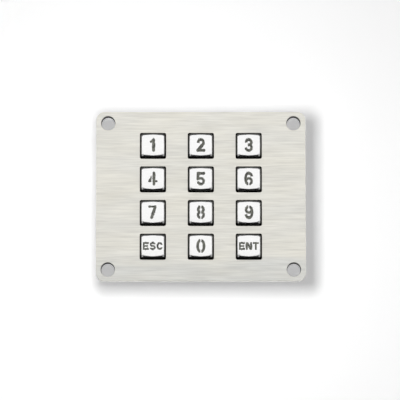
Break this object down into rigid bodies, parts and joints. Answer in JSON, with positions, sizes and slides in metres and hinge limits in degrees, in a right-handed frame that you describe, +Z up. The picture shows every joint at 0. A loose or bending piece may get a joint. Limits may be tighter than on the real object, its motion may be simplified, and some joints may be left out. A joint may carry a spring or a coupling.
{
  "type": "keypad access reader",
  "caption": "Panel-mounted keypad: a flat brushed steel plate with corner holes, square metal keys in a grid with stencil-cut backlit figures, and a sealed rear housing.",
  "frame": {"origin": "centre of the corner-hole pattern on the front plate's rear plane", "axes": "+X to the right as the keys are read, +Z up, +Y from the plate into the panel behind it; the keys face -Y"},
  "size_m": [0.105, 0.0213, 0.0856],
  "materials": {
    "brushed_plate": "brushed along the width",
    "key_metal": "satin bright",
    "legend_resin": "translucent grey resin",
    "carbon_rubber": "matt",
    "plated_steel": "zinc plated",
    "black_plastic": "matt",
    "cover_plastic": "fine moulded texture",
    "grey_silicone": "matt",
    "black_rubber": "matt",
    "board_laminate": "solder mask",
    "gold_contact": "gold plated",
    "led_white": "clear",
    "chip_black": "matt",
    "ceramic_tan": "matt",
    "nylon_white": "natural nylon"
  },
  "bodies": {
    "housing": {"front_plate": "brushed_plate", "weld_studs": "plated_steel", "key_guide_frame": "black_plastic", "keymat": "grey_silicone", "circuit_board": "board_laminate", "contact_pads": "gold_contact", "backlight_leds": "led_white", "controller_chip": "chip_black", "chip_leads": "plated_steel", "board_resistors": "chip_black", "board_capacitors": "ceramic_tan", "header_base": "black_plastic", "header_pins": "gold_contact", "board_spacers": "nylon_white", "rear_cover": "cover_plastic", "cover_seal": "black_rubber", "mounting_gasket": "black_rubber", "cover_washers": "plated_steel", "cover_nuts": "plated_steel"},
    "key_1": {"key_cap_1": "key_metal", "light_guide_1": "legend_resin", "contact_pill_1": "carbon_rubber"},
    "key_2": {"key_cap_2": "key_metal", "light_guide_2": "legend_resin", "contact_pill_2": "carbon_rubber"},
    "key_3": {"key_cap_3": "key_metal", "light_guide_3": "legend_resin", "contact_pill_3": "carbon_rubber"},
    "key_4": {"key_cap_4": "key_metal", "light_guide_4": "legend_resin", "contact_pill_4": "carbon_rubber"},
    "key_5": {"key_cap_5": "key_metal", "light_guide_5": "legend_resin", "contact_pill_5": "carbon_rubber"},
    "key_6": {"key_cap_6": "key_metal", "light_guide_6": "legend_resin", "contact_pill_6": "carbon_rubber"},
    "key_7": {"key_cap_7": "key_metal", "light_guide_7": "legend_resin", "contact_pill_7": "carbon_rubber"},
    "key_8": {"key_cap_8": "key_metal", "light_guide_8": "legend_resin", "contact_pill_8": "carbon_rubber"},
    "key_9": {"key_cap_9": "key_metal", "light_guide_9": "legend_resin", "contact_pill_9": "carbon_rubber"},
    "key_esc": {"key_cap_esc": "key_metal", "light_guide_esc": "legend_resin", "contact_pill_esc": "carbon_rubber"},
    "key_0": {"key_cap_0": "key_metal", "light_guide_0": "legend_resin", "contact_pill_0": "carbon_rubber"},
    "key_ent": {"key_cap_ent": "key_metal", "light_guide_ent": "legend_resin", "contact_pill_ent": "carbon_rubber"}
  },
  "joints": [
    {"name": "key_1_press", "type": "slide", "parent": "housing", "child": "key_1", "axis": [0, 1, 0], "range_m": [0, 0.0011], "stiffness_N_per_m": 1800, "deforming": ["keymat"]},
    {"name": "key_2_press", "type": "slide", "parent": "housing", "child": "key_2", "axis": [0, 1, 0], "range_m": [0, 0.0011], "stiffness_N_per_m": 1800, "deforming": ["keymat"]},
    {"name": "key_3_press", "type": "slide", "parent": "housing", "child": "key_3", "axis": [0, 1, 0], "range_m": [0, 0.0011], "stiffness_N_per_m": 1800, "deforming": ["keymat"]},
    {"name": "key_4_press", "type": "slide", "parent": "housing", "child": "key_4", "axis": [0, 1, 0], "range_m": [0, 0.0011], "stiffness_N_per_m": 1800, "deforming": ["keymat"]},
    {"name": "key_5_press", "type": "slide", "parent": "housing", "child": "key_5", "axis": [0, 1, 0], "range_m": [0, 0.0011], "stiffness_N_per_m": 1800, "deforming": ["keymat"]},
    {"name": "key_6_press", "type": "slide", "parent": "housing", "child": "key_6", "axis": [0, 1, 0], "range_m": [0, 0.0011], "stiffness_N_per_m": 1800, "deforming": ["keymat"]},
    {"name": "key_7_press", "type": "slide", "parent": "housing", "child": "key_7", "axis": [0, 1, 0], "range_m": [0, 0.0011], "stiffness_N_per_m": 1800, "deforming": ["keymat"]},
    {"name": "key_8_press", "type": "slide", "parent": "housing", "child": "key_8", "axis": [0, 1, 0], "range_m": [0, 0.0011], "stiffness_N_per_m": 1800, "deforming": ["keymat"]},
    {"name": "key_9_press", "type": "slide", "parent": "housing", "child": "key_9", "axis": [0, 1, 0], "range_m": [0, 0.0011], "stiffness_N_per_m": 1800, "deforming": ["keymat"]},
    {"name": "key_esc_press", "type": "slide", "parent": "housing", "child": "key_esc", "axis": [0, 1, 0], "range_m": [0, 0.0011], "stiffness_N_per_m": 1800, "deforming": ["keymat"]},
    {"name": "key_0_press", "type": "slide", "parent": "housing", "child": "key_0", "axis": [0, 1, 0], "range_m": [0, 0.0011], "stiffness_N_per_m": 1800, "deforming": ["keymat"]},
    {"name": "key_ent_press", "type": "slide", "parent": "housing", "child": "key_ent", "axis": [0, 1, 0], "range_m": [0, 0.0011], "stiffness_N_per_m": 1800, "deforming": ["keymat"]}
  ]
}
